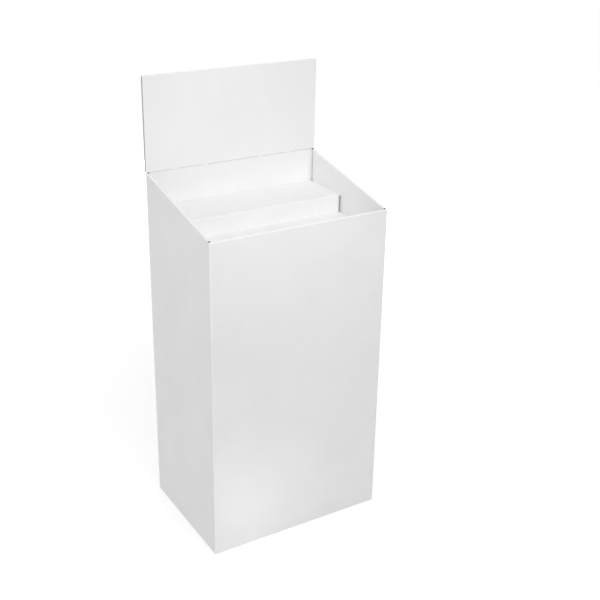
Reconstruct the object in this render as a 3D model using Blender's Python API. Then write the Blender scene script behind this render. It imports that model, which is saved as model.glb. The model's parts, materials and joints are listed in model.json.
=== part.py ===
"""Tiered floor display stand of white corrugated board: a folded sleeve whose two-ply header folds forward
over it, a two-step insert that lifts out, and a core of slotted boards. Metres, +Z up, front at -Y."""

import math

import bmesh
import bpy
from mathutils import Vector

# Outside sizes of the sleeve, how far its side rims rise to the back, and the header above them
WIDTH = 0.450
DEPTH = 0.320
FRONT_HEIGHT = 0.785
BACK_RISE = 0.065
HEADER_HEIGHT = 0.220

# Board, and the gap left between two panels that touch
BOARD = 0.003
JOINT_GAP = 0.0003

# Fold-over hems: how far the inner plies reach down from the front rim, and where the side plies stop
HEM_DEPTH = 0.120
HEM_BACK_SLOT = 0.005
HEM_FRONT_GAP = 0.001

# Header crease: slits with uncut bridges between them, placed each side of the middle
SLIT_HEIGHT = 0.0008
SLIT_END_MARGIN = 0.012
BRIDGE_WIDTH = 0.006
INNER_BRIDGE_X = 0.073
OUTER_BRIDGE_X = 0.151

# Header's back ply, folded over at the top: how far it stops above the crease
HEADER_BACK_LIFT = 0.001

# Joint strip of the sleeve
GLUE_FLAP_WIDTH = 0.035

# Bottom flaps, and the relief cut at each end of a flap
FLAP_DEPTH = 0.070
FLAP_RELIEF = 0.003

# Two-step insert: the lower deck's place under the front rim, the step up to the upper deck, the upper deck's
# depth, how far the skirts reach down, and the gap at each end of the riser
LOWER_DECK_DROP = 0.060
STEP_HEIGHT = 0.043
UPPER_DECK_DEPTH = 0.134
SKIRT_DEPTH = 0.062
RISER_END_GAP = 0.0018

# Core boards: the stepped pair's distance from the middle, the cross board behind the riser, slot fit
CORE_BOARD_X = 0.075
CROSS_BOARD_SETBACK = 0.014
SLOT_CLEARANCE = 0.0003

# Finishes: linear colour and roughness
COATED_WHITE = ((0.86, 0.86, 0.86, 1.0), 0.55)
PLAIN_KRAFT = ((0.47, 0.31, 0.18, 1.0), 0.85)

# Places that follow from the sizes
HALF_W = WIDTH / 2
RIM_WIDTH = 2 * BOARD + JOINT_GAP
HEADER_OVERHANG = RIM_WIDTH - BOARD
FRONT_Y = -(DEPTH + HEADER_OVERHANG) / 2
BACK_Y = FRONT_Y + DEPTH
HEADER_BACK_Y = BACK_Y + HEADER_OVERHANG
BACK_HEIGHT = FRONT_HEIGHT + BACK_RISE
HEADER_TOP = BACK_HEIGHT + HEADER_HEIGHT
MITRE_GAP = JOINT_GAP / math.sqrt(2)
INSIDE_X = HALF_W - BOARD
INSIDE_FRONT_Y = FRONT_Y + BOARD
INSIDE_BACK_Y = BACK_Y - BOARD
HEM_OUTER_X = INSIDE_X - JOINT_GAP
HEM_INNER_X = HEM_OUTER_X - BOARD
FRONT_HEM_OUTER_Y = INSIDE_FRONT_Y + JOINT_GAP
FRONT_HEM_INNER_Y = FRONT_HEM_OUTER_Y + BOARD
HEM_BOTTOM = FRONT_HEIGHT - HEM_DEPTH
SIDE_HEM_FRONT_Y = FRONT_HEM_INNER_Y + HEM_FRONT_GAP
SIDE_HEM_BACK_Y = INSIDE_BACK_Y - HEM_BACK_SLOT
SLOPE = BACK_RISE / DEPTH
RIM_DROP = BOARD * math.sqrt(1 + SLOPE * SLOPE)
FLAP_UNDERSIDE = JOINT_GAP
FLAP_TOP = FLAP_UNDERSIDE + BOARD
CORE_FOOT = FLAP_TOP + JOINT_GAP
TIER_X = HEM_INNER_X - JOINT_GAP
FLANGE_INNER_X = TIER_X - BOARD
TIER_FRONT_Y = FRONT_HEM_INNER_Y + JOINT_GAP
TIER_BACK_Y = INSIDE_BACK_Y - JOINT_GAP
RISER_FRONT_Y = TIER_BACK_Y - UPPER_DECK_DEPTH
RISER_BACK_Y = RISER_FRONT_Y + BOARD
LOWER_DECK_HEIGHT = FRONT_HEIGHT - LOWER_DECK_DROP
UPPER_DECK_HEIGHT = LOWER_DECK_HEIGHT + STEP_HEIGHT
LOWER_UNDERSIDE = LOWER_DECK_HEIGHT - BOARD
UPPER_UNDERSIDE = UPPER_DECK_HEIGHT - BOARD
SKIRT_BOTTOM = LOWER_UNDERSIDE - SKIRT_DEPTH


def rim_height(y):
    """Height of the sloping side rims at a place along the depth."""
    return FRONT_HEIGHT + SLOPE * (y - FRONT_Y)


def board_material(name, finish):
    """A material for one panel."""
    colour, roughness = finish
    material = bpy.data.materials.new(name + "_board")
    material.use_nodes = True
    shader = material.node_tree.nodes["Principled BSDF"]
    shader.inputs["Base Color"].default_value = colour
    shader.inputs["Roughness"].default_value = roughness
    shader.inputs["Metallic"].default_value = 0.0
    return material


def add_object(name, data, place, carrier):
    """Adds an object at a place in the stand's frame, parented to what carries it."""
    thing = bpy.data.objects.new(name, data)
    bpy.context.scene.collection.objects.link(thing)
    thing.parent = carrier
    thing.location = place
    while carrier is not None:
        thing.location -= carrier.location
        carrier = carrier.parent
    return thing


def axis_empty(name, place, carrier=None):
    """An empty on a joint's axis, which carries the pieces that move on it."""
    return add_object(name, None, Vector(place), carrier)


def panel(name, near, far, finish=COATED_WHITE, origin=(0.0, 0.0, 0.0), carrier=None):
    """One closed panel between two matching outlines, with its origin at the given place."""
    start = Vector(origin)
    shape = bmesh.new()
    rings = [[shape.verts.new(Vector(point) - start) for point in ring] for ring in (near, far)]
    for ring in rings:
        shape.faces.new(ring)
    count = len(near)
    for i in range(count):
        j = (i + 1) % count
        shape.faces.new((rings[0][i], rings[0][j], rings[1][j], rings[1][i]))
    bmesh.ops.recalc_face_normals(shape, faces=shape.faces)
    mesh = bpy.data.meshes.new(name)
    shape.to_mesh(mesh)
    shape.free()
    mesh.materials.append(board_material(name, finish))
    return add_object(name, mesh, start, carrier)


def along_x(name, outline, low, high, **options):
    """A panel with a (y, z) outline, from one x to another."""
    near = [(low, y, z) for y, z in outline]
    far = [(high, y, z) for y, z in outline]
    return panel(name, near, far, **options)


def along_y(name, outline, low, high, **options):
    """A panel with an (x, z) outline, from one y to another."""
    near = [(x, low, z) for x, z in outline]
    far = [(x, high, z) for x, z in outline]
    return panel(name, near, far, **options)


def along_z(name, outline, low, high, **options):
    """A panel with an (x, y) outline, from one z to another."""
    near = [(x, y, low) for x, y in outline]
    far = [(x, y, high) for x, y in outline]
    return panel(name, near, far, **options)


def rectangle(low_a, high_a, low_b, high_b):
    """Corners of a rectangle, in order."""
    return [(low_a, low_b), (high_a, low_b), (high_a, high_b), (low_a, high_b)]


def mirrored(outline, side):
    """An outline with its first coordinate turned to the given side."""
    return [(side * a, b) for a, b in outline]


def crease_outline(half_width):
    """The back wall's (x, z) outline, with its slits cut out of the top edge between the bridges."""
    top = BACK_HEIGHT - JOINT_GAP / 2
    slit = top - SLIT_HEIGHT
    half_bridge = BRIDGE_WIDTH / 2
    lands = [(-half_width, -HALF_W + SLIT_END_MARGIN)]
    for x in (-OUTER_BRIDGE_X, -INNER_BRIDGE_X, INNER_BRIDGE_X, OUTER_BRIDGE_X):
        lands.append((x - half_bridge, x + half_bridge))
    lands.append((HALF_W - SLIT_END_MARGIN, half_width))
    points = [(half_width, 0.0), (-half_width, 0.0)]
    for i, (left, right) in enumerate(lands):
        if i > 0:
            points.append((left, slit))
        points.append((left, top))
        points.append((right, top))
        if i < len(lands) - 1:
            points.append((right, slit))
    return points


def walls():
    """Four walls of the sleeve, mitred where the sheet folds at the corners."""
    outer_x = HALF_W - MITRE_GAP
    inner_x = INSIDE_X - MITRE_GAP
    top = FRONT_HEIGHT - BOARD - JOINT_GAP
    front_outer = [(x, FRONT_Y, z) for x, z in rectangle(-outer_x, outer_x, 0.0, top)]
    front_inner = [(x, INSIDE_FRONT_Y, z) for x, z in rectangle(-inner_x, inner_x, 0.0, top)]
    panel("front_wall", front_outer, front_inner)
    back_outer = [(x, BACK_Y, z) for x, z in crease_outline(outer_x)]
    back_inner = [(x, INSIDE_BACK_Y, z) for x, z in crease_outline(inner_x)]
    panel("back_wall", back_outer, back_inner)
    for side, name in ((-1, "left_wall"), (1, "right_wall")):
        rings = []
        for x, front, back in ((HALF_W, FRONT_Y, BACK_Y), (INSIDE_X, INSIDE_FRONT_Y, INSIDE_BACK_Y)):
            ends = (front + MITRE_GAP, back - MITRE_GAP)
            ring = [(side * x, y, 0.0) for y in ends]
            ring += [(side * x, y, rim_height(y) - RIM_DROP - JOINT_GAP) for y in reversed(ends)]
            rings.append(ring)
        panel(name, *rings)


def glue_flap():
    """Joint strip inside the left wall, between the bottom flap and the hem."""
    back = INSIDE_BACK_Y - JOINT_GAP
    outline = rectangle(back - GLUE_FLAP_WIDTH, back, FLAP_TOP + JOINT_GAP, HEM_BOTTOM - JOINT_GAP)
    along_x("glue_flap", outline, -HEM_OUTER_X, -HEM_INNER_X)


def hems():
    """Fold-over hems: a flat rim over each of three walls and an inner ply below it."""
    rim_bottom = FRONT_HEIGHT - BOARD
    outline = rectangle(FRONT_Y, FRONT_Y + RIM_WIDTH, rim_bottom, FRONT_HEIGHT)
    along_x("front_rim", outline, -HEM_OUTER_X, HEM_OUTER_X)
    ply = rectangle(FRONT_HEM_OUTER_Y, FRONT_HEM_INNER_Y, HEM_BOTTOM, rim_bottom - JOINT_GAP)
    along_x("front_hem", ply, -HEM_OUTER_X, HEM_OUTER_X)
    front, back = SIDE_HEM_FRONT_Y, SIDE_HEM_BACK_Y
    rim = [(y, rim_height(y)) for y in (front, back)]
    rim += [(y, rim_height(y) - RIM_DROP) for y in (back, front)]
    ply = [(front, HEM_BOTTOM), (back, HEM_BOTTOM)]
    ply += [(y, rim_height(y) - RIM_DROP - JOINT_GAP) for y in (back, front)]
    for side, name in ((-1, "left"), (1, "right")):
        along_x(name + "_rim", rim, side * HALF_W, side * (HALF_W - RIM_WIDTH))
        along_x(name + "_hem", ply, side * HEM_OUTER_X, side * HEM_INNER_X)


def header(carrier):
    """Sign board above the crease: front ply, flat fold at the top, and back ply."""
    fold_bottom = HEADER_TOP - BOARD
    ply_top = fold_bottom - JOINT_GAP
    front = rectangle(-HALF_W, HALF_W, BACK_HEIGHT + JOINT_GAP / 2, ply_top)
    along_y("header_panel", front, INSIDE_BACK_Y, BACK_Y, carrier=carrier)
    fold = rectangle(-HALF_W, HALF_W, fold_bottom, HEADER_TOP)
    along_y("header_rim", fold, INSIDE_BACK_Y, HEADER_BACK_Y, carrier=carrier)
    back = rectangle(-HALF_W, HALF_W, BACK_HEIGHT + HEADER_BACK_LIFT, ply_top)
    along_y("header_back", back, BACK_Y + JOINT_GAP, HEADER_BACK_Y, carrier=carrier)


def bottom_flaps():
    """Four tapered flaps turned in at the bottom, each with its origin on its crease."""
    half_gap = JOINT_GAP / 2
    root = JOINT_GAP + FLAP_RELIEF
    tip = FLAP_DEPTH + FLAP_RELIEF
    long_x, short_x = INSIDE_X - root, INSIDE_X - tip
    for wall_y, inward, name in ((INSIDE_FRONT_Y, 1, "front"), (INSIDE_BACK_Y, -1, "back")):
        outer, inner = wall_y + inward * JOINT_GAP, wall_y + inward * FLAP_DEPTH
        outline = [(-long_x, outer), (long_x, outer), (short_x, inner), (-short_x, inner)]
        crease = (0.0, wall_y + inward * half_gap, half_gap)
        along_z(name + "_bottom_flap", outline, FLAP_UNDERSIDE, FLAP_TOP, origin=crease)
    outer, inner = INSIDE_X - JOINT_GAP, INSIDE_X - FLAP_DEPTH
    outline = [(outer, INSIDE_FRONT_Y + root), (outer, INSIDE_BACK_Y - root)]
    outline += [(inner, INSIDE_BACK_Y - tip), (inner, INSIDE_FRONT_Y + tip)]
    for side, name in ((-1, "left"), (1, "right")):
        crease = (side * (INSIDE_X - half_gap), (FRONT_Y + BACK_Y) / 2, half_gap)
        along_z(name + "_bottom_flap", mirrored(outline, side), FLAP_UNDERSIDE, FLAP_TOP, origin=crease)


def core(carrier):
    """Two stepped boards from front to back, half-lapped with one board across the stand."""
    front = TIER_FRONT_Y + BOARD + JOINT_GAP
    back = TIER_BACK_Y - BOARD - JOINT_GAP
    step = RISER_BACK_Y + JOINT_GAP
    low_top = LOWER_UNDERSIDE - JOINT_GAP
    high_top = UPPER_UNDERSIDE - JOINT_GAP
    lap = (CORE_FOOT + high_top) / 2
    cross_front = RISER_BACK_Y + CROSS_BOARD_SETBACK
    cross_back = cross_front + BOARD
    slot_front, slot_back = cross_front - SLOT_CLEARANCE, cross_back + SLOT_CLEARANCE
    stepped = [(front, CORE_FOOT), (slot_front, CORE_FOOT), (slot_front, lap + SLOT_CLEARANCE)]
    stepped += [(slot_back, lap + SLOT_CLEARANCE), (slot_back, CORE_FOOT), (back, CORE_FOOT)]
    stepped += [(back, high_top), (step, high_top), (step, low_top), (front, low_top)]
    half_board = BOARD / 2
    for side, name in ((-1, "left_core_board"), (1, "right_core_board")):
        low, high = side * CORE_BOARD_X - half_board, side * CORE_BOARD_X + half_board
        along_x(name, stepped, low, high, finish=PLAIN_KRAFT, carrier=carrier)
    end = FLANGE_INNER_X - JOINT_GAP
    across = [(-end, CORE_FOOT), (end, CORE_FOOT), (end, high_top)]
    for middle in (CORE_BOARD_X, -CORE_BOARD_X):
        right, left = middle + half_board + SLOT_CLEARANCE, middle - half_board - SLOT_CLEARANCE
        bottom = lap - SLOT_CLEARANCE
        across += [(right, high_top), (right, bottom), (left, bottom), (left, high_top)]
    across.append((-end, high_top))
    along_y("cross_core_board", across, cross_front, cross_back, finish=PLAIN_KRAFT, carrier=carrier)


def tier(carrier):
    """Two-step insert: decks and riser, with skirts and flanges turned down round them."""
    riser_x = FLANGE_INNER_X - RISER_END_GAP
    skirt_x = FLANGE_INNER_X - JOINT_GAP
    lower_back = RISER_FRONT_Y - JOINT_GAP
    upper = rectangle(-TIER_X, TIER_X, RISER_FRONT_Y, TIER_BACK_Y)
    along_z("upper_deck", upper, UPPER_UNDERSIDE, UPPER_DECK_HEIGHT, carrier=carrier)
    lower = rectangle(-TIER_X, TIER_X, TIER_FRONT_Y, lower_back)
    along_z("lower_deck", lower, LOWER_UNDERSIDE, LOWER_DECK_HEIGHT, carrier=carrier)
    upper_top = UPPER_UNDERSIDE - JOINT_GAP
    lower_top = LOWER_UNDERSIDE - JOINT_GAP
    rise = rectangle(-riser_x, riser_x, LOWER_UNDERSIDE, upper_top)
    along_y("riser", rise, RISER_FRONT_Y, RISER_BACK_Y, carrier=carrier)
    back = rectangle(-skirt_x, skirt_x, SKIRT_BOTTOM, upper_top)
    along_y("back_skirt", back, TIER_BACK_Y - BOARD, TIER_BACK_Y, carrier=carrier)
    front = rectangle(-skirt_x, skirt_x, SKIRT_BOTTOM, lower_top)
    along_y("front_skirt", front, TIER_FRONT_Y, TIER_FRONT_Y + BOARD, carrier=carrier)
    high = rectangle(RISER_FRONT_Y, TIER_BACK_Y, SKIRT_BOTTOM, upper_top)
    low = rectangle(TIER_FRONT_Y, lower_back, SKIRT_BOTTOM, lower_top)
    for side, name in ((-1, "left"), (1, "right")):
        inner, outer = side * FLANGE_INNER_X, side * TIER_X
        along_x("upper_" + name + "_flange", high, inner, outer, carrier=carrier)
        along_x("lower_" + name + "_flange", low, inner, outer, carrier=carrier)


def main():
    for old in list(bpy.data.objects):
        bpy.data.objects.remove(old, do_unlink=True)
    walls()
    glue_flap()
    hems()
    header(axis_empty("header_fold_axis", (0.0, INSIDE_BACK_Y - JOINT_GAP / 2, BACK_HEIGHT)))
    bottom_flaps()
    core_axis = axis_empty("core_lift_axis", (0.0, 0.0, CORE_FOOT))
    core(core_axis)
    tier_axis = axis_empty("tier_lift_axis", (0.0, 0.0, LOWER_UNDERSIDE), core_axis)
    tier(tier_axis)


main()
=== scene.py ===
"""Looks for a tiered floor display stand of folded white corrugated board. Each panel becomes a solid board
with rounded folds, or two liners and a corrugated medium where its cut edges show.
Metres, +Z up, front at -Y."""

import json
import math

import bmesh
import bpy
from mathutils import Matrix, Vector


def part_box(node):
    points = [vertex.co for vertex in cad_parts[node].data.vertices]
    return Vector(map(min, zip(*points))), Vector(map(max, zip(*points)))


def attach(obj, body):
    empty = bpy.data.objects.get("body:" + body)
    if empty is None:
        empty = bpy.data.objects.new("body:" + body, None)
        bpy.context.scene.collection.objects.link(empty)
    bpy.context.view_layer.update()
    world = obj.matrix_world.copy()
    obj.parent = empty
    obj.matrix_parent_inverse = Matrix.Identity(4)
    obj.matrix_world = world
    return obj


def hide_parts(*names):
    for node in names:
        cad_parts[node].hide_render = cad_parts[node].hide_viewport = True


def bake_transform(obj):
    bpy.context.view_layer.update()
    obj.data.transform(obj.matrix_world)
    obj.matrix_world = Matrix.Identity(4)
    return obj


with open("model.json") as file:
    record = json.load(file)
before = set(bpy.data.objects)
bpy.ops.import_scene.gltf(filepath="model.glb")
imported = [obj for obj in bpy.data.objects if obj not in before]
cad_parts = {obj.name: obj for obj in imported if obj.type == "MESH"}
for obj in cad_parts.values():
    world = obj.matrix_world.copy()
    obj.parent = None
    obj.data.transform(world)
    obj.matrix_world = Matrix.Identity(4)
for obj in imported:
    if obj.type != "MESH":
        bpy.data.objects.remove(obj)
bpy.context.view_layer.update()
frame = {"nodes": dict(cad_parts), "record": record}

# Camera: place, direction in degrees, lens and sensor in millimetres, and the lens shift of the framing
CAMERA_PLACE = (-1.1017, -1.9471, 1.5415)
CAMERA_AZIMUTH = 31.582
CAMERA_DOWN = 23.305
CAMERA_ROLL = 1.029
CAMERA_LENS = 61.802
CAMERA_SENSOR = 36.0
CAMERA_SHIFT_Y = -0.02

# Corrugated board: liner and medium, flute pitch and points, how far the medium stops inside a cut edge,
# the shortest flute, and the jump of its ends that breaks a run of flutes
LINER = 0.00035
MEDIUM = 0.00025
FLUTE_PITCH = 0.006
FLUTE_POINTS = 8
EDGE_RECESS = 0.0003
SHORTEST_FLUTE = 0.0012
FLUTE_JUMP = 0.0015

# Folds: outside radius at the walls' corners and feet, at the front and side hems, at the header's top
# and at the decks, then the segments and the profile of a round
WALL_RADIUS = 0.0025
FRONT_RIM_RADIUS = 0.0026
SIDE_RIM_RADIUS = 0.0020
HEADER_RADIUS = 0.0012
DECK_RADIUS = 0.0018
FOLD_SEGMENTS = 6
ROUND_PROFILE = 0.5

# Header crease: height of its slits, how far a bridge's paper spreads to each side, rows up a bridge, and
# the relief hole near each end
SLIT_OPENING = 0.0006
BRIDGE_SPREAD = 0.0012
CREASE_ROWS = 4
HOLE_PLACE = 0.220
HOLE_RADIUS = 0.0022
HOLE_DEPTH = 0.0038
HOLE_POINTS = 8

# Rims: how deep the side rims' cut ends are open, and how far the walls' front corners stay below the
# front rim's top
END_HOLLOW = 0.005
CORNER_DROP = 0.0008

# Upper shelf: how far its cut end reaches in past the riser's end
NOSING_INSET = 0.0025

# Material slots of a board: flat face, fold (lighter, as a painted highlight), cut edge, and inside of a
# hole or hollow (painted dark as shade)
FACE, FOLD, RAW, INSIDE = range(4)

# Papers, which are the coat, the coat at a fold (lighter, as a painted highlight), raw pulp, pulp painted
# dark as
# shade, and kraft: patterns in cycles a metre, linear colours as stops along a pattern, roughness from low
# to high, and reliefs in metres
WHITE = (1.0, 1.0, 1.0, 1.0)
COAT_CLOUD_SCALE = 9.0
COAT_CLOUD = ((0.35, (0.848, 0.848, 0.852, 1.0)), (0.65, (0.872, 0.872, 0.874, 1.0)))
COAT_GRAIN_SCALE = 700.0
COAT_GRAIN = ((0.30, (0.985, 0.985, 0.983, 1.0)), (0.60, WHITE))
COAT_GLOSS_SCALE = 45.0
COAT_ROUGHNESS = (0.42, 0.56)
COAT_FLUTE_RELIEF = 0.000006
COAT_GRAIN_RELIEF = 0.000012
# Coat at a fold: dark crack lines, and paper lighter than the flat coat as a painted highlight along the
# fold
SCORE_CRACK_SCALE = 420.0
SCORE_CRACK_AND_HIGHLIGHT = ((0.0, (0.845, 0.844, 0.841, 1.0)), (0.12, (0.897, 0.897, 0.897, 1.0)))
SCORE_CLOUD_SCALE = 60.0
SCORE_CLOUD = ((0.3, (0.985, 0.985, 0.985, 1.0)), (0.6, WHITE))
SCORE_GLOSS_SCALE = 90.0
SCORE_ROUGHNESS = (0.52, 0.68)
SCORE_RELIEF = 0.00002
PULP_FIBRE_SCALE = 1500.0
PULP_FIBRE = ((0.3, (0.580, 0.570, 0.550, 1.0)), (0.7, (0.700, 0.690, 0.670, 1.0)))
# Painted shade: pulp far darker than any paper, for the insides of holes and hollows where shade falls
PAINTED_SHADE_FIBRE = ((0.3, (0.060, 0.056, 0.050, 1.0)), (0.7, (0.100, 0.094, 0.086, 1.0)))
PULP_ROUGHNESS = (0.80, 0.95)
PULP_RELIEF = 0.00004
KRAFT_FIBRE_SCALE = (260.0, 260.0, 40.0)
KRAFT_FIBRE = ((0.35, (0.420, 0.272, 0.152, 1.0)), (0.65, (0.500, 0.335, 0.198, 1.0)))
KRAFT_FLECK_SCALE = 330.0
KRAFT_FLECK = ((0.24, (0.5, 0.44776, 0.40404, 1.0)), (0.30, WHITE))
KRAFT_BAND = ((0.0, (0.975, 0.975, 0.975, 1.0)), (1.0, WHITE))
KRAFT_ROUGHNESS = (0.78, 0.92)
KRAFT_FIBRE_RELIEF = 0.00003
KRAFT_FLUTE_RELIEF = 0.00002

# Floor: size, cells and drop below the feet, its colour as a light bounce, and, as seen, a shaded part and a
# glow that grows between two distances
FLOOR_SIZE = 40.0
FLOOR_CELLS = 8
FLOOR_DROP = 0.0002
FLOOR_COLOUR = (0.80, 0.80, 0.80, 1.0)
FLOOR_SHADED = (0.5, 0.5, 0.5, 1.0)
FLOOR_NEAR = 0.6
FLOOR_FAR = 3.0
GLOW_NEAR = 0.60
GLOW_FAR = 0.74

# Light: strength of the dome as it lights and as it is seen, then each soft box's place, aim, size and power
DOME = 0.521
DOME_SEEN = 1.0
SOFT_BOXES = (
    ("left_mid", (-3.0, -0.4, 1.2), (0.0, 0.0, 0.6), 1.8, 14.3),
    ("far_top", (0.0, -3.0, 3.4), (0.0, 0.0, 0.8), 1.6, 44.8),
    ("back_right", (2.6, 1.8, 1.2), (0.0, 0.0, 0.6), 2.0, 16.0),
    ("back_mid", (0.5, 3.0, 0.7), (0.0, 0.0, 0.55), 2.0, 20.0),
    ("low_front", (-0.15, -0.38, 0.11), (-0.15, -0.16, 0.11), 0.12, 0.076),
)

# Soft spots on the open top and the header's foot: aim, radius, cone in degrees and power, from one place
# and with one softness of the cone's edge
SPOT_PLACE = (-0.7, -1.5, 2.2)
SPOT_BLEND = 1.0
SOFT_SPOTS = (
    ("open_top", (0.0, -0.02, 0.75), 0.40, 36.0, 37.0),
    ("header_foot", (0.0, 0.12, 0.88), 0.12, 26.0, 22.8),
)

# Tests: points that are one, coordinates that touch, digits of a place in an outline, the share of a normal
# along an axis for a face that looks that way and for one that lies square, and the angles between faces
# that are sharp and that are flat
DOUBLE = 1e-6
TOUCH = 1e-5
OUTLINE_DIGITS = 6
FACING = 0.9
SQUARE = 0.999
SHARP_ANGLE = math.radians(50)
FLAT_ANGLE = math.radians(0.1)

AXES = "xyz"
UP = Vector((0.0, 0.0, 1.0))

# Places taken from the frame
HALF_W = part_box("right_wall")[1].x
INSIDE_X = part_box("right_wall")[0].x
FRONT_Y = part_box("front_wall")[0].y
INSIDE_FRONT_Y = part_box("front_wall")[1].y
INSIDE_BACK_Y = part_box("back_wall")[0].y
BACK_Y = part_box("back_wall")[1].y
JOINT_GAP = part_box("front_rim")[0].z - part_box("front_wall")[1].z
BODY_OF = {n: body for body, nodes in frame["record"]["behaviour"]["bodies"].items() for n in nodes}


def add(tree, kind, inputs, **settings):
    """Adds a shader node. An input is named or numbered, and takes a value or another node's output."""
    node = tree.nodes.new("ShaderNode" + kind)
    for key, value in settings.items():
        setattr(node, key, value)
    for key, value in inputs.items():
        if isinstance(value, bpy.types.NodeSocket):
            tree.links.new(value, node.inputs[key])
        else:
            node.inputs[key].default_value = value
    return node


def ramp(tree, factor, stops):
    """A colour ramp from a factor through two stops of (position, colour)."""
    node = add(tree, "ValToRGB", {"Fac": factor})
    for element, (position, colour) in zip(node.color_ramp.elements, stops):
        element.position = position
        element.color = colour
    return node.outputs["Color"]


def multiplied(tree, first, second):
    """Two colours multiplied."""
    node = add(tree, "Mix", {0: 1.0, 6: first, 7: second}, data_type="RGBA", blend_type="MULTIPLY")
    return node.outputs[2]


def span(tree, value, low, high):
    """A 0 to 1 value spread from low to high."""
    return add(tree, "MapRange", {"Value": value, "To Min": low, "To Max": high}).outputs["Result"]


def noise(tree, vector, scale, detail=3.0):
    """Noise of so many cycles a metre."""
    return add(tree, "TexNoise", {"Vector": vector, "Scale": scale, "Detail": detail}).outputs["Fac"]


def washboard(tree, coords, axis):
    """A sine across the flutes, which show faintly through a liner."""
    along = add(tree, "SeparateXYZ", {0: coords}).outputs[axis.upper()]
    turns = add(tree, "Math", {0: along, 1: 2 * math.pi / FLUTE_PITCH}, operation="MULTIPLY")
    return add(tree, "Math", {0: turns.outputs[0]}, operation="SINE").outputs[0]


def relief(tree, height, depth, normal=None):
    """A bump of so many metres, over another bump's normal where one is given."""
    inputs = {"Height": height, "Distance": depth, "Strength": 1.0}
    if normal is not None:
        inputs["Normal"] = normal
    return add(tree, "Bump", inputs).outputs["Normal"]


def start_material(name):
    """A material with its node tree and object coordinates."""
    material = bpy.data.materials.new(name)
    material.use_nodes = True
    tree = material.node_tree
    return material, tree, add(tree, "TexCoord", {}).outputs["Object"]


def finish_material(tree, colour, roughness, normal):
    """Links a paper's colour, roughness and normal to its shader."""
    shader = tree.nodes["Principled BSDF"]
    tree.links.new(colour, shader.inputs["Base Color"])
    tree.links.new(roughness, shader.inputs["Roughness"])
    tree.links.new(normal, shader.inputs["Normal"])


def coated_paper(axis):
    """Clay-coated white liner: faint clouding, fine grain, and the flutes showing through."""
    material, tree, coords = start_material("coated_white_" + axis)
    cloud = ramp(tree, noise(tree, coords, COAT_CLOUD_SCALE, detail=5.0), COAT_CLOUD)
    grain = noise(tree, coords, COAT_GRAIN_SCALE)
    colour = multiplied(tree, cloud, ramp(tree, grain, COAT_GRAIN))
    roughness = span(tree, noise(tree, coords, COAT_GLOSS_SCALE), *COAT_ROUGHNESS)
    flutes = relief(tree, washboard(tree, coords, axis), COAT_FLUTE_RELIEF)
    finish_material(tree, colour, roughness, relief(tree, grain, COAT_GRAIN_RELIEF, flutes))
    return material


def scored_and_highlit_paper():
    """The coat where it bends round a fold: finely crazed, less glossy, and lighter, as a painted highlight.
    """
    material, tree, coords = start_material("scored_white_highlit")
    pattern = {"Vector": coords, "Scale": SCORE_CRACK_SCALE}
    cracks = add(tree, "TexVoronoi", pattern, feature="DISTANCE_TO_EDGE").outputs["Distance"]
    cloud = ramp(tree, noise(tree, coords, SCORE_CLOUD_SCALE), SCORE_CLOUD)
    colour = multiplied(tree, ramp(tree, cracks, SCORE_CRACK_AND_HIGHLIGHT), cloud)
    roughness = span(tree, noise(tree, coords, SCORE_GLOSS_SCALE), *SCORE_ROUGHNESS)
    finish_material(tree, colour, roughness, relief(tree, cracks, SCORE_RELIEF))
    return material


def pulp_paper(name, stops):
    """Uncoated recycled paper of the medium and of cut edges, with fibres; with darker stops, painted shade.
    """
    material, tree, coords = start_material(name)
    fibre = noise(tree, coords, PULP_FIBRE_SCALE, detail=4.0)
    roughness = span(tree, fibre, *PULP_ROUGHNESS)
    finish_material(tree, ramp(tree, fibre, stops), roughness, relief(tree, fibre, PULP_RELIEF))
    return material


def kraft_paper(axis):
    """Plain brown liner of the core: long fibres, dark flecks, and the flutes showing through."""
    material, tree, coords = start_material("kraft_liner_" + axis)
    stretch = add(tree, "Mapping", {"Vector": coords, "Scale": KRAFT_FIBRE_SCALE})
    fibre = noise(tree, stretch.outputs[0], 1.0, detail=6.0)
    flecks = ramp(tree, noise(tree, coords, KRAFT_FLECK_SCALE, detail=2.0), KRAFT_FLECK)
    wave = washboard(tree, coords, axis)
    flecked = multiplied(tree, ramp(tree, fibre, KRAFT_FIBRE), flecks)
    colour = multiplied(tree, flecked, ramp(tree, wave, KRAFT_BAND))
    flutes = relief(tree, wave, KRAFT_FLUTE_RELIEF)
    normal = relief(tree, fibre, KRAFT_FIBRE_RELIEF, flutes)
    finish_material(tree, colour, span(tree, fibre, *KRAFT_ROUGHNESS), normal)
    return material


# Papers of the boards, with a liner for each axis that its flutes may lie across
COATED = {axis: coated_paper(axis) for axis in AXES}
KRAFT = {axis: kraft_paper(axis) for axis in "xy"}
# Fold paper: crazed, and lighter than the coat as a painted highlight
SCORED_AND_HIGHLIT = scored_and_highlit_paper()
PULP = pulp_paper("raw_pulp", PULP_FIBRE)
# Pulp painted dark as shade, for the insides of holes and hollows
PAINTED_SHADE_PULP = pulp_paper("painted_shade_pulp", PAINTED_SHADE_FIBRE)


def place(axis, a, b, depth):
    """A point from two outline coordinates and its depth along the axis."""
    point = [a, b]
    point.insert(AXES.index(axis), depth)
    return Vector(point)


def rectangle(low_a, high_a, low_b, high_b):
    """Corners of a rectangle, in order."""
    return [(low_a, low_b), (high_a, low_b), (high_a, high_b), (low_a, high_b)]


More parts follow.
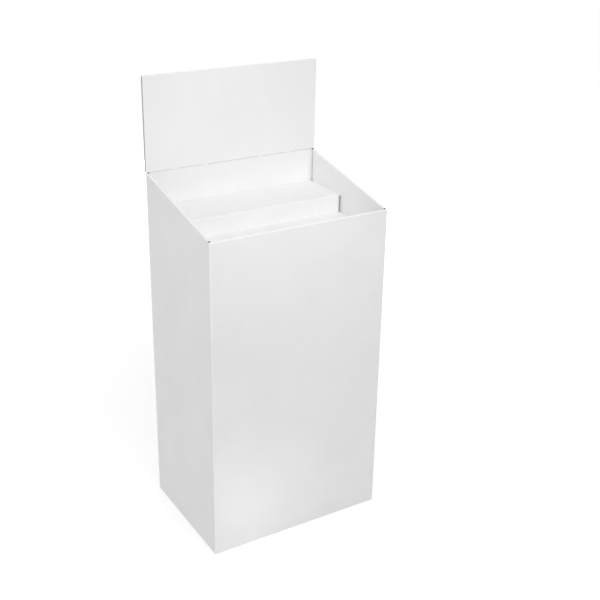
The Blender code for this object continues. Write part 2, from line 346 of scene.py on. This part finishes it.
def cad_outline(node, axis):
    """The outline of a CAD panel seen along its thickness, as points in order."""
    mesh = frame["nodes"][node].data
    depth = AXES.index(axis)
    flat = [i for i in range(len(AXES)) if i != depth]
    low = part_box(node)[0][depth]
    sides = set()
    for face in mesh.polygons:
        corners = [mesh.vertices[i].co for i in face.vertices]
        if all(abs(c[depth] - low) < TOUCH for c in corners):
            points = [tuple(round(c[i], OUTLINE_DIGITS) for i in flat) for c in corners]
            sides.update(zip(points, points[1:] + points[:1]))
    following = {p: q for p, q in sides if (q, p) not in sides}
    outline = [min(following)]
    while following[outline[-1]] != outline[0]:
        outline.append(following[outline[-1]])
    return outline


def top_at(node, y):
    """The highest point of a CAD node at one end of its run along Y."""
    return max(v.co.z for v in frame["nodes"][node].data.vertices if abs(v.co.y - y) < TOUCH)


def on_line(edge, **at):
    """Whether both ends of an edge lie at the given coordinates."""
    return all(abs(v.co[AXES.index(axis)] - value) < TOUCH for v in edge.verts for axis, value in at.items())


def upward(face):
    """Whether a face looks up."""
    return face.normal.z > FACING


def looking_along(axis):
    """A test for faces that look along an axis, either way."""
    depth = AXES.index(axis)
    return lambda face: abs(face.normal[depth]) > FACING


def loft(shape, rings, side_slot, cap_slots):
    """Adds a closed form through matching rings of points. Its sides have one slot, and each cap its own."""
    made = [[shape.verts.new(point) for point in ring] for ring in rings]
    for near, far in zip(made, made[1:]):
        for i in range(len(near)):
            j = (i + 1) % len(near)
            shape.faces.new((near[i], near[j], far[j], far[i])).material_index = side_slot
    for ring, slot in zip((made[0], made[-1]), cap_slots):
        shape.faces.new(ring).material_index = slot


def merge(shape):
    """Joins the points and flat faces that a loft leaves double, with every face looking outwards."""
    bmesh.ops.remove_doubles(shape, verts=shape.verts, dist=DOUBLE)
    bmesh.ops.dissolve_limit(shape, angle_limit=FLAT_ANGLE, verts=shape.verts, edges=shape.edges)
    bmesh.ops.recalc_face_normals(shape, faces=shape.faces)


def open_ends(shape):
    """Opens each cut end into a hollow between the liners, with walls painted dark as shade."""
    ends = [face for face in shape.faces if face.material_index == RAW]
    bmesh.ops.inset_individual(shape, faces=ends, thickness=LINER, use_even_offset=True)
    for face in bmesh.ops.extrude_discrete_faces(shape, faces=ends)["faces"]:
        face.normal_update()
        bmesh.ops.translate(shape, verts=face.verts, vec=-END_HOLLOW * face.normal)
        # The hollow's walls take the slot painted dark as shade
        for wall in {near for edge in face.edges for near in edge.link_faces}:
            wall.material_index = INSIDE


def new_piece(name, shape, materials):
    """An object from a finished form, shaded smooth except at sharp edges."""
    bmesh.ops.recalc_face_normals(shape, faces=shape.faces)
    mesh = bpy.data.meshes.new(name)
    shape.to_mesh(mesh)
    shape.free()
    for material in materials:
        mesh.materials.append(material)
    mesh.shade_smooth()
    mesh.set_sharp_from_angle(angle=SHARP_ANGLE)
    piece = bpy.data.objects.new(name, mesh)
    bpy.context.scene.collection.objects.link(piece)
    return piece


def stand_for(piece, node):
    """The piece shows in place of a CAD node, on its body."""
    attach(piece, BODY_OF[node])
    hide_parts(node)


def solid_piece(node, shape, wave):
    """A solid board's finished form in place of its CAD node. Its flutes show as waves along an axis."""
    piece = new_piece(node + "_board", shape, (COATED[wave], SCORED_AND_HIGHLIT, PULP, PAINTED_SHADE_PULP))
    normals = piece.modifiers.new("flat_face_normals", "WEIGHTED_NORMAL")
    normals.keep_sharp = True
    stand_for(piece, node)
    return piece


def board(outline, low, high):
    """The two sections of a flat board."""
    return [(outline, low), (outline, high)]


def slab(node, axis, sections, folds, radius, wave, raw=None, slope=0.0, hollow=False):
    """A solid board through sections of (outline, depth), with rounded folds. Faces that raw picks show a
    cut edge, which may be hollow, and the whole board may rise by a slope towards the back."""
    shape = bmesh.new()
    rings = [[place(axis, a, b, depth) for a, b in outline] for outline, depth in sections]
    loft(shape, rings, FACE, (FACE, FACE))
    merge(shape)
    for face in shape.faces:
        if raw and raw(face):
            face.material_index = RAW
    edges = [e for e in shape.edges if any(on_line(e, **fold) for fold in folds)]
    bmesh.ops.bevel(
        shape, geom=edges, affect="EDGES", offset=radius, offset_type="OFFSET", segments=FOLD_SEGMENTS,
        profile=ROUND_PROFILE, material=FOLD,
    )
    if hollow:
        open_ends(shape)
    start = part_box(node)[0].y
    for vert in shape.verts:
        vert.co.z += slope * (vert.co.y - start)
    return solid_piece(node, shape, wave)


def chord(outline, s):
    """Where a line across the outline at s enters and leaves it."""
    crossings = []
    for (s0, t0), (s1, t1) in zip(outline, outline[1:] + outline[:1]):
        if min(s0, s1) < s < max(s0, s1):
            crossings.append(t0 + (t1 - t0) * (s - s0) / (s1 - s0))
    return min(crossings), max(crossings)


def flute_runs(outline):
    """Unbroken runs of (place across the flutes, start, end) over an outline."""
    step = FLUTE_PITCH / FLUTE_POINTS
    first = min(s for s, t in outline)
    count = int((max(s for s, t in outline) - first) / step)
    runs = [[]]
    for i in range(count):
        s = first + (i + 0.5) * step
        low, high = chord(outline, s)
        if high - low < SHORTEST_FLUTE:
            continue
        low += EDGE_RECESS
        high -= EDGE_RECESS
        if runs[-1] and max(abs(low - runs[-1][-1][1]), abs(high - runs[-1][-1][2])) > FLUTE_JUMP:
            runs.append([])
        runs[-1].append((s, low, high))
    return [run for run in runs if len(run) > 1]


def fluted(node, axis, flutes, papers=COATED):
    """A board that is thin along one axis and has its flutes along another: two liners and a corrugated
    medium, with its cut edges open."""
    outline = cad_outline(node, axis)
    depth = AXES.index(axis)
    low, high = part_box(node)[0][depth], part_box(node)[1][depth]
    shape = bmesh.new()
    near = [[place(axis, a, b, d) for a, b in outline] for d in (low, low + LINER)]
    far = [[place(axis, a, b, d) for a, b in outline] for d in (high - LINER, high)]
    loft(shape, near, RAW, (FACE, RAW))
    loft(shape, far, RAW, (RAW, FACE))
    across = next(a for a in AXES if a not in (axis, flutes))
    turned = AXES.index(across) > AXES.index(flutes)
    middle = (low + high) / 2
    swing = (high - low - MEDIUM) / 2 - LINER - TOUCH
    for run in flute_runs([(b, a) for a, b in outline] if turned else outline):
        rings = []
        for s, start, end in run:
            centre = middle + swing * math.sin(2 * math.pi * s / FLUTE_PITCH)
            ring = rectangle(start, end, centre - MEDIUM / 2, centre + MEDIUM / 2)
            rings.append([place(axis, t, s, d) if turned else place(axis, s, t, d) for t, d in ring])
        loft(shape, rings, RAW, (RAW, RAW))
    stand_for(new_piece(node + "_board", shape, (papers[across], SCORED_AND_HIGHLIT, PULP)), node)


def front_wall():
    """The front wall, with corners beside the rim that reach nearly to its top."""
    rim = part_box("front_rim")
    seat, corner, end = rim[0].z - JOINT_GAP, rim[1].z - CORNER_DROP, rim[1].x + JOINT_GAP / 2
    outline = [(-HALF_W, 0.0), (HALF_W, 0.0), (HALF_W, corner), (end, corner), (end, seat)]
    outline += [(-end, seat), (-end, corner), (-HALF_W, corner)]
    folds = [{"y": FRONT_Y, "z": 0.0}, {"y": FRONT_Y, "z": corner}]
    for x in (-HALF_W, HALF_W):
        folds += [{"x": x, "y": FRONT_Y}, {"x": x, "z": 0.0}, {"x": x, "z": corner}]
    slab("front_wall", "y", board(outline, FRONT_Y, INSIDE_FRONT_Y), folds, WALL_RADIUS, "x")


def back_wall():
    """The back wall up to the crease, with a blind relief hole near each end, painted dark inside as shade.
    """
    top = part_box("header_panel")[0].z - SLIT_OPENING
    foot = [(-HALF_W, 0.0), (HALF_W, 0.0)]
    holed, plain = [(HALF_W, top)], [(HALF_W, top)]
    for centre in (HOLE_PLACE, -HOLE_PLACE):
        for i in range(HOLE_POINTS + 1):
            angle = math.pi * i / HOLE_POINTS
            x = centre + HOLE_RADIUS * math.cos(angle)
            holed.append((x, top - HOLE_DEPTH * math.sin(angle)))
            plain.append((x, top))
    holed.append((-HALF_W, top))
    plain.append((-HALF_W, top))
    web = BACK_Y - LINER
    sections = board(foot + holed, INSIDE_BACK_Y, web) + board(foot + plain, web, BACK_Y)
    folds = [{"y": BACK_Y, "z": 0.0}]
    for x in (-HALF_W, HALF_W):
        folds += [{"x": x, "y": BACK_Y}, {"x": x, "z": 0.0}]
    piece = slab("back_wall", "y", sections, folds, WALL_RADIUS, "x", raw=upward)
    # Faces inside each hole take the slot painted dark as shade
    for face in piece.data.polygons:
        beside, below = abs(abs(face.center.x) - HOLE_PLACE), top - face.center.z
        if beside < HOLE_RADIUS and TOUCH < below < HOLE_DEPTH and face.center.y < web + TOUCH:
            face.material_index = INSIDE


def side_walls(slope):
    """Side walls, with sloping tops under the rims and corners that rise beside the rims' ends."""
    for side, name in ((-1, "left"), (1, "right")):
        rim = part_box(name + "_rim")
        seat = top_at(name + "_hem", rim[0].y) - slope * rim[0].y
        crest = top_at(name + "_rim", rim[0].y) - slope * rim[0].y
        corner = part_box("front_rim")[1].z - CORNER_DROP
        front, rear = rim[0].y - JOINT_GAP / 2, rim[1].y + JOINT_GAP / 2
        outline = [(INSIDE_FRONT_Y, 0.0), (INSIDE_BACK_Y, 0.0)]
        outline += [(y, crest + slope * y) for y in (INSIDE_BACK_Y, rear)]
        outline += [(y, seat + slope * y) for y in (rear, front)]
        outline += [(front, corner), (INSIDE_FRONT_Y, corner)]
        low, high = sorted((side * INSIDE_X, side * HALF_W))
        folds = [{"x": side * HALF_W, "z": z} for z in (0.0, corner)]
        slab(name + "_wall", "x", board(outline, low, high), folds, WALL_RADIUS, "y")


def rims(slope):
    """Flat tops of the fold-overs, down to the plies below them."""
    for node, radius in (("front_rim", FRONT_RIM_RADIUS), ("header_rim", HEADER_RADIUS)):
        low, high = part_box(node)
        outline = rectangle(low.y, high.y, low.z - JOINT_GAP, high.z)
        folds = [{"y": y, "z": high.z} for y in (low.y, high.y)]
        slab(node, "x", board(outline, low.x, high.x), folds, radius, "x", raw=looking_along("x"))
    for node in ("left_rim", "right_rim"):
        low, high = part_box(node)
        top = top_at(node, low.y)
        outline = rectangle(low.y, high.y, low.z - JOINT_GAP, top)
        folds = [{"x": x, "z": top} for x in (low.x, high.x)]
        slab(
            node, "x", board(outline, low.x, high.x), folds, SIDE_RIM_RADIUS, "y",
            raw=looking_along("y"), slope=slope, hollow=True,
        )


def shelf(node, back, nosing, tail):
    """A shelf of the insert as sections along X: rounded down at its ends, along the nosing and, where it
    has a tail of 1, at its back, and cut square in front of the end flanges."""
    low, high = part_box(node)
    turns = [math.pi / 2 * i / FOLD_SEGMENTS for i in range(FOLD_SEGMENTS + 1)]
    rounds = [(DECK_RADIUS * (1 - math.sin(turn)), DECK_RADIUS * (1 - math.cos(turn))) for turn in turns]

    def section(x, drop, rounded):
        """One section, lowered by a drop, with a front edge that is rounded at 1 and square at 0."""
        top = high.z - drop
        front_edge = [(low.y + a * rounded, top - b * rounded) for a, b in reversed(rounds)]
        back_edge = [(back - a * tail, top - b * tail) for a, b in rounds]
        outline = [(low.y, low.z - JOINT_GAP), *front_edge, *back_edge, (back, low.z - JOINT_GAP)]
        return [Vector((x, y, z)) for y, z in outline]

    ends = [section(high.x - a, b, 0.0) for a, b in rounds]
    right = [section(nosing, 0.0, 1.0), section(nosing, 0.0, 0.0), *ends]
    left = [[Vector((-p.x, p.y, p.z)) for p in ring] for ring in reversed(right)]
    shape = bmesh.new()
    loft(shape, left + right, FACE, (FACE, FACE))
    merge(shape)
    for face in shape.faces:
        if max(abs(c) for c in face.normal) < SQUARE:
            face.material_index = FOLD
        elif face.normal.y < -FACING and abs(face.calc_center_median().x) > nosing:
            face.material_index = RAW
    solid_piece(node, shape, "y")


def decks():
    """The two shelves of the insert, over the panels that turn down from them."""
    shelf("upper_deck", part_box("upper_deck")[1].y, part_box("riser")[1].x - NOSING_INSET, 1.0)
    shelf("lower_deck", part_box("riser")[0].y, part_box("front_skirt")[1].x, 0.0)


def crease_bridges():
    """The front liner left whole between the slits of the crease. The outer two bridges end at the relief
    holes."""
    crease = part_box("header_panel")[0].z
    floor = crease - SLIT_OPENING
    outline = cad_outline("back_wall", "y")
    land = max(z for x, z in outline)
    ends = sorted(x for x, z in outline if abs(z - land) < TOUCH)
    inner = list(zip(ends[::2], ends[1::2]))[1:-1]
    bridges = [(left - BRIDGE_SPREAD, right + BRIDGE_SPREAD) for left, right in inner]
    heights = [floor + SLIT_OPENING * i / CREASE_ROWS for i in range(CREASE_ROWS + 1)]
    shape = bmesh.new()
    for left, right in [(ends[0], -HOLE_PLACE), *bridges, (HOLE_PLACE, ends[-1])]:
        ring = rectangle(left, right, INSIDE_BACK_Y, INSIDE_BACK_Y + LINER)
        loft(shape, [[(x, y, z) for x, y in ring] for z in heights], FACE, (FACE, FACE))
    piece = new_piece("header_crease", shape, (COATED["x"],))
    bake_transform(piece)


def stand():
    """Every panel of the stand."""
    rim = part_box("left_rim")
    slope = (top_at("left_rim", rim[1].y) - top_at("left_rim", rim[0].y)) / (rim[1].y - rim[0].y)
    front_wall()
    back_wall()
    side_walls(slope)
    rims(slope)
    decks()
    crease_bridges()
    fluted("header_panel", "y", "z")
    fluted("header_back", "y", "z")
    fluted("front_hem", "y", "z")
    fluted("glue_flap", "x", "z")
    for node in ("riser", "front_skirt", "back_skirt"):
        fluted(node, "y", "x")
    for side in ("left", "right"):
        fluted(side + "_hem", "x", "z")
        fluted("upper_" + side + "_flange", "x", "z")
        fluted("lower_" + side + "_flange", "x", "z")
        fluted(side + "_bottom_flap", "z", "x")
        fluted(side + "_core_board", "x", "z", papers=KRAFT)
    for end in ("front", "back"):
        fluted(end + "_bottom_flap", "z", "y")
    fluted("cross_core_board", "y", "z", papers=KRAFT)


def seen_directly(tree):
    """1 for camera, glossy and transmission rays, and 0 for light that falls on the object."""
    path = add(tree, "LightPath", {})
    camera, glossy = path.outputs["Is Camera Ray"], path.outputs["Is Glossy Ray"]
    first = add(tree, "Math", {0: camera, 1: glossy}, operation="MAXIMUM")
    through = path.outputs["Is Transmission Ray"]
    return add(tree, "Math", {0: first.outputs[0], 1: through}, operation="MAXIMUM").outputs[0]


def background():
    """A soft dome of light that is seen as white."""
    world = bpy.data.worlds.new("studio")
    world.use_nodes = True
    tree = world.node_tree
    tree.nodes.clear()
    dome = add(tree, "Background", {"Color": WHITE, "Strength": DOME})
    white = add(tree, "Background", {"Color": WHITE, "Strength": DOME_SEEN})
    both = add(tree, "MixShader", {0: seen_directly(tree), 1: dome.outputs[0], 2: white.outputs[0]})
    add(tree, "OutputWorld", {"Surface": both.outputs[0]})
    bpy.context.scene.world = world
    bpy.context.scene.view_settings.view_transform = "Standard"


def pale_floor():
    """A floor as white as the background, which keeps a faint shadow near the stand."""
    paper = bpy.data.materials.new("pale_floor")
    paper.use_nodes = True
    tree = paper.node_tree
    tree.nodes.clear()
    matt = add(tree, "BsdfDiffuse", {"Color": FLOOR_COLOUR})
    coords = add(tree, "TexCoord", {}).outputs["Object"]
    reach = add(tree, "VectorMath", {0: coords}, operation="LENGTH").outputs["Value"]
    limits = {"From Min": FLOOR_NEAR, "From Max": FLOOR_FAR, "To Min": GLOW_NEAR, "To Max": GLOW_FAR}
    level = add(tree, "MapRange", {"Value": reach, **limits})
    glow = add(tree, "Emission", {"Strength": level.outputs["Result"]})
    shaded = add(tree, "BsdfDiffuse", {"Color": FLOOR_SHADED})
    shown = add(tree, "AddShader", {0: glow.outputs[0], 1: shaded.outputs[0]})
    both = add(tree, "MixShader", {0: seen_directly(tree), 1: matt.outputs[0], 2: shown.outputs[0]})
    add(tree, "OutputMaterial", {"Surface": both.outputs[0]})

    shape = bmesh.new()
    bmesh.ops.create_grid(shape, x_segments=FLOOR_CELLS, y_segments=FLOOR_CELLS, size=FLOOR_SIZE / 2)
    floor = new_piece("floor", shape, (paper,))
    floor.location.z = -FLOOR_DROP


def hang(light, where, aim):
    """Puts a lamp in its place, turned to its aim."""
    lamp = bpy.data.objects.new(light.name, light)
    lamp.location = where
    lamp.rotation_euler = (Vector(aim) - Vector(where)).to_track_quat("-Z", "Y").to_euler()
    lamp.visible_camera = False
    bpy.context.scene.collection.objects.link(lamp)


def lamps():
    """Large soft boxes round the stand, a small one low in front, and the soft spots."""
    for name, where, aim, size, power in SOFT_BOXES:
        light = bpy.data.lights.new(name, "AREA")
        light.shape = "SQUARE"
        light.size = size
        light.energy = power
        hang(light, where, aim)
    for name, aim, radius, cone, power in SOFT_SPOTS:
        light = bpy.data.lights.new(name, "SPOT")
        light.shadow_soft_size = radius
        light.spot_size = math.radians(cone)
        light.spot_blend = SPOT_BLEND
        light.energy = power
        hang(light, SPOT_PLACE, aim)


def camera():
    """The photograph's view."""
    azimuth, down, roll = map(math.radians, (CAMERA_AZIMUTH, CAMERA_DOWN, CAMERA_ROLL))
    level = Vector((math.sin(azimuth), math.cos(azimuth), 0.0))
    forward = level * math.cos(down) - UP * math.sin(down)
    side = forward.cross(UP).normalized()
    right = side * math.cos(roll) + side.cross(forward) * math.sin(roll)
    lens = bpy.data.cameras.new("camera")
    lens.sensor_width = CAMERA_SENSOR
    lens.lens = CAMERA_LENS
    lens.shift_y = CAMERA_SHIFT_Y
    view = bpy.data.objects.new("camera", lens)
    turn = Matrix((right, right.cross(forward), -forward)).transposed()
    view.matrix_world = Matrix.Translation(CAMERA_PLACE) @ turn.to_4x4()
    bpy.context.scene.collection.objects.link(view)
    bpy.context.scene.camera = view


stand()
background()
pale_floor()
lamps()
camera()
